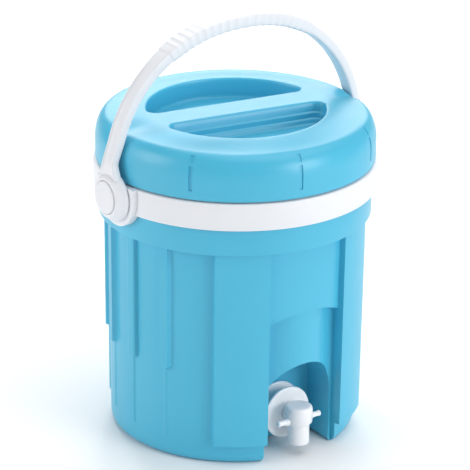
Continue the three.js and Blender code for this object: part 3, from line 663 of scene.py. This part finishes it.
def pocket_ring(side, grow, setback, height):
    """One D outline at one height. setback moves its straight edge away from the bar."""
    radius, edge, corner = pocket_radius + grow, bar_half - grow + setback, pocket_corner + grow
    centre_y = edge + corner
    centre_x = sqrt((radius - corner) ** 2 - centre_y ** 2)
    swing = atan2(centre_y, centre_x)
    points = [(centre_x * (k / 6.0 - 1.0), edge) for k in range(12)]
    for k in range(10):
        bend = -pi / 2 + (swing + pi / 2) * k / 10
        points.append((centre_x + corner * cos(bend), centre_y + corner * sin(bend)))
    for k in range(48):
        bend = swing + (pi - 2 * swing) * k / 48
        points.append((radius * cos(bend), radius * sin(bend)))
    for k in range(10):
        bend = pi - swing + (swing + pi / 2) * k / 10
        points.append((corner * cos(bend) - centre_x, centre_y + corner * sin(bend)))
    return [(x, side * y, height) for x, y in points]


pocket_steps = [
    (-2.6, 7.4, 293.0), (-1.3, 7.0, 293.35), (-0.4, 6.7, 294.2), (0.0, 6.4, 295.6), (0.0, 6.0, 297.3),
    (0.0, 5.4, 297.9), (0.0, 4.6, 298.2), (0.0, 4.0, 298.7), (0.0, 3.5, 302.8), (0.0, 2.9, 303.4),
    (0.0, 2.2, 303.7), (0.0, 1.6, 304.2), (0.0, 0.8, 308.0), (0.0, 0.2, 310.9), (0.2, 0.0, 311.7),
    (0.6, 0.0, 312.4), (1.1, 0.0, 312.8), (1.8, 0.0, 313.01), (2.6, 0.0, 316.0),
]


def gathered(builds):
    """Several separate shapes as one."""
    whole = bmesh.new()
    for build in builds:
        part = bpy.data.meshes.new("part")
        build.to_mesh(part)
        build.free()
        whole.from_mesh(part)
        bpy.data.meshes.remove(part)
    return whole


def both_pockets(grow):
    pair = []
    for side in (-1, 1):
        rings = [
            pocket_ring(side, rim + grow, setback, height + lid_crown - grow)
            for rim, setback, height in pocket_steps
        ]
        pair.append(lofted(rings))
    return gathered(pair)


def slot_cutter(turn, course):
    """A thin upright blade that follows the lid's side; course lists (inner radius, height)."""
    blade = lofted([
        [(-1.7, -reach, z), (1.7, -reach, z), (2.6, -reach - 4.0, z), (-2.6, -reach - 4.0, z)]
        for reach, z in course
    ])
    bmesh.ops.rotate(blade, verts=blade.verts[:], cent=(0, 0, 0), matrix=Matrix.Rotation(radians(turn), 3, "Z"))
    return blade


lid = as_object("lid_moulding", lid_solid(0.0, lid_foot, 288))
hollow = as_object("lid_hollow", lid_solid(lid_skin, lid_foot - 1.0, 144))
joined(hollow, both_pockets(lid_skin), "DIFFERENCE")
hollow_build = bmesh.new()
hollow_build.from_mesh(hollow.data)
bpy.data.objects.remove(hollow)
joined(lid, hollow_build, "DIFFERENCE")
joined(lid, both_pockets(0.0), "DIFFERENCE")
long_slot = [(131.8, 279.0), (131.8, 289.7), (131.3, 296.0), (129.9, 302.2)]
short_slot = [(129.3, 304.4), (126.4, 308.4), (124.0, 310.8)]
blades = [slot_cutter(45.0 * k, course) for k in range(8) for course in (long_slot, short_slot)]
joined(lid, gathered(blades), "DIFFERENCE")
lid.data.transform(Matrix.Rotation(radians(lid_turn), 4, "Z"))
shaded(lid, 34.0)
painted(lid, pale_blue, "lid", "blue_plastic", "lid_shell")

# ---------------------------------------------------------------------------------------------
# Tap body: a white flanged disc on a hollow shank that passes through the alcove's wall, with a
# separate round plate behind it that covers the hole and presses on the outer gasket.
# ---------------------------------------------------------------------------------------------


def laid_back(build):
    """Lays a shape made round the upright axis along the tap's axis, heights becoming Y."""
    swap = Matrix(((1, 0, 0, 0), (0, 0, 1, 0), (0, -1, 0, 0), (0, 0, 0, 1)))
    bmesh.ops.transform(build, matrix=Matrix.Translation((0, 0, tap_height * mm)) @ swap, verts=build.verts[:])
    return build


tap_profile = [
    (7.2, -91.0), (9.0, -91.0), (9.5, -90.75), (20.5, -90.7), (21.5, -91.0), (24.4, -91.0), (25.2, -90.7),
    (25.6, -90.0), (25.6, -89.0), (25.2, -88.3), (24.4, -88.0), (10.2, -88.0), (9.3, -87.7), (9.0, -86.9),
    (9.0, -47.8), (8.4, -47.0), (5.5, -47.0), (5.5, -69.5), (0.0, -69.5), (0.0, -73.0), (7.2, -73.0),
    (7.2, -88.6), (8.6, -88.6), (8.6, -90.4), (7.2, -90.4),
]
axis_split = tap_profile.index((0.0, -73.0))
tap_profile = tap_profile[axis_split:] + tap_profile[:axis_split]
tap = as_object("tap_flange", laid_back(spun(tap_profile, 0.0, 360.0, 112, closed=False)))
port = spun([(0.0, -74.0), (2.1, -74.0), (2.1, -68.5), (0.0, -68.5)], 0.0, 360.0, 24, closed=False)
bmesh.ops.translate(port, verts=port.verts[:], vec=(0, -3.2 * mm, 0))
joined(tap, laid_back(port), "DIFFERENCE")
shaded(tap)
tap_white = moulded_plastic("tap_white_plastic", (0.93, 0.94, 0.96), (0.90, 0.915, 0.94), 0.32)
painted(tap, tap_white, "jug", "white_plastic", "tap_body")

plate_profile = [
    (9.3, -74.6), (23.6, -74.6), (24.5, -74.35), (25.0, -73.7), (25.0, -72.0), (24.7, -71.6), (9.3, -71.6),
]
plate = as_object("tap_plate", laid_back(spun(plate_profile, 0.0, 360.0, 112, closed=True)))
shaded(plate)
painted(plate, tap_white, "jug", "white_plastic", "tap_escutcheon")

# ---------------------------------------------------------------------------------------------
# Spout: a white moulded barrel with a downward tube, two round-ended ears to turn it by, and a
# hollow core behind, with two ring grooves, that is both bearing and valve.
# ---------------------------------------------------------------------------------------------
barrel_y = -109.0
barrel_profile = [
    (0.0, 46.0), (7.8, 46.0), (7.8, 11.4), (8.2, 11.0), (9.7, 11.0), (10.2, 11.3), (10.3, 11.8), (10.3, 29.6),
    (10.4, 30.4), (10.8, 31.2), (12.2, 32.4), (12.7, 32.8), (12.8, 33.2), (12.8, 33.5), (13.0, 33.8),
    (13.0, 46.0), (12.8, 47.3), (12.2, 48.4), (11.3, 49.1), (10.3, 49.4), (9.4, 49.5), (0.0, 49.5),
]
spout_build = spun(barrel_profile, 0.0, 360.0, 96, closed=False)
bmesh.ops.translate(spout_build, verts=spout_build.verts[:], vec=(0, barrel_y * mm, 0))
spout = as_object("spout_moulding", spout_build)
ear_profile = [
    (0.0, 9.0), (3.9, 9.0), (3.8, 13.5), (3.3, 14.8), (2.9, 16.0), (2.6, 18.5), (2.35, 20.6), (2.45, 21.6),
    (2.75, 22.4), (2.9, 23.2), (2.75, 24.0), (2.2, 24.6), (1.3, 24.92), (0.0, 25.0),
]
for side in (-1, 1):
    ear = laid_across(spun(ear_profile, 0.0, 360.0, 40, closed=False), side)
    shift = (0, barrel_y * mm, (tap_height - pivot_height) * mm)
    bmesh.ops.translate(ear, verts=ear.verts[:], vec=shift)
    joined(spout, ear, "UNION")
core_profile = [
    (0.0, -99.0), (8.6, -99.0), (8.4, -95.6), (7.2, -94.4), (6.7, -93.6), (6.7, -90.1), (8.2, -89.9),
    (8.2, -89.1), (6.7, -88.9), (6.7, -86.1), (5.2, -86.1), (5.2, -83.9), (6.7, -83.9), (6.7, -79.1),
    (5.2, -79.1), (5.2, -76.9), (6.7, -76.9), (6.7, -73.3), (0.0, -73.3),
]
joined(spout, laid_back(spun(core_profile, 0.0, 360.0, 64, closed=False)), "UNION")
tube = spun([(0.0, 9.0), (7.8, 9.0), (7.8, 46.0), (0.0, 46.0)], 0.0, 360.0, 96, closed=False)
bmesh.ops.translate(tube, verts=tube.verts[:], vec=(0, barrel_y * mm, 0))
joined(spout, tube, "DIFFERENCE")
way = spun([(0.0, -109.0), (4.2, -109.0), (4.2, -75.8), (0.0, -75.8)], 0.0, 360.0, 40, closed=False)
joined(spout, laid_back(way), "DIFFERENCE")
inlet = spun([(0.0, -78.0), (2.1, -78.0), (2.1, -72.0), (0.0, -72.0)], 0.0, 360.0, 24, closed=False)
bmesh.ops.translate(inlet, verts=inlet.verts[:], vec=(0, -3.2 * mm, 0))
joined(spout, laid_back(inlet), "DIFFERENCE")
shaded(spout)
spout_white = moulded_plastic("spout_white_plastic", (0.88, 0.90, 0.93), (0.85, 0.87, 0.90), 0.30)
painted(spout, spout_white, "spout", "white_plastic", "tap_spout")

# ---------------------------------------------------------------------------------------------
# Inside: the food-safe liner and the lid's plug are plain white mouldings, and the foam between
# the walls is cast in place, so its shape is theirs. The CAD pieces stay and take real finishes.
# ---------------------------------------------------------------------------------------------


def finished(paint, *nodes):
    for node in nodes:
        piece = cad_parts[node]
        piece.data.materials.clear()
        piece.data.materials.append(paint)


liner_white = moulded_plastic("liner_white_plastic", (0.82, 0.83, 0.83), (0.78, 0.80, 0.80), 0.42, 0.05)
finished(liner_white, "inner_liner", "lid_liner", "tap_nut", "pivot_retainer_left", "pivot_retainer_right")

foam_cells = moulded_plastic("cast_foam", (0.80, 0.70, 0.44), (0.70, 0.58, 0.33), 0.85, 0.5)
foam_tree = foam_cells.node_tree
bubbles = foam_tree.nodes.new("ShaderNodeTexVoronoi")
bubbles.inputs["Scale"].default_value = 900.0
foam_bump = next(n for n in foam_tree.nodes if n.type == "BUMP")
foam_place = next(n for n in foam_tree.nodes if n.type == "TEX_COORD")
foam_tree.links.new(foam_place.outputs["Object"], bubbles.inputs["Vector"])
foam_tree.links.new(bubbles.outputs["Distance"], foam_bump.inputs["Height"])
finished(foam_cells, "insulation_foam", "lid_foam")

# ---------------------------------------------------------------------------------------------
# Seals: black rubber washers on the tap's shank, rings in the spout's grooves, and the lid's flat
# gasket, all with a dull skin that has picked up a little dust.
# ---------------------------------------------------------------------------------------------
seal_rubber = moulded_plastic("seal_rubber", (0.030, 0.030, 0.032), (0.060, 0.060, 0.062), 0.72, 0.25)
finished(
    seal_rubber, "lid_gasket", "tap_outer_gasket", "tap_inner_gasket", "spout_oring_front", "spout_oring_rear",
)
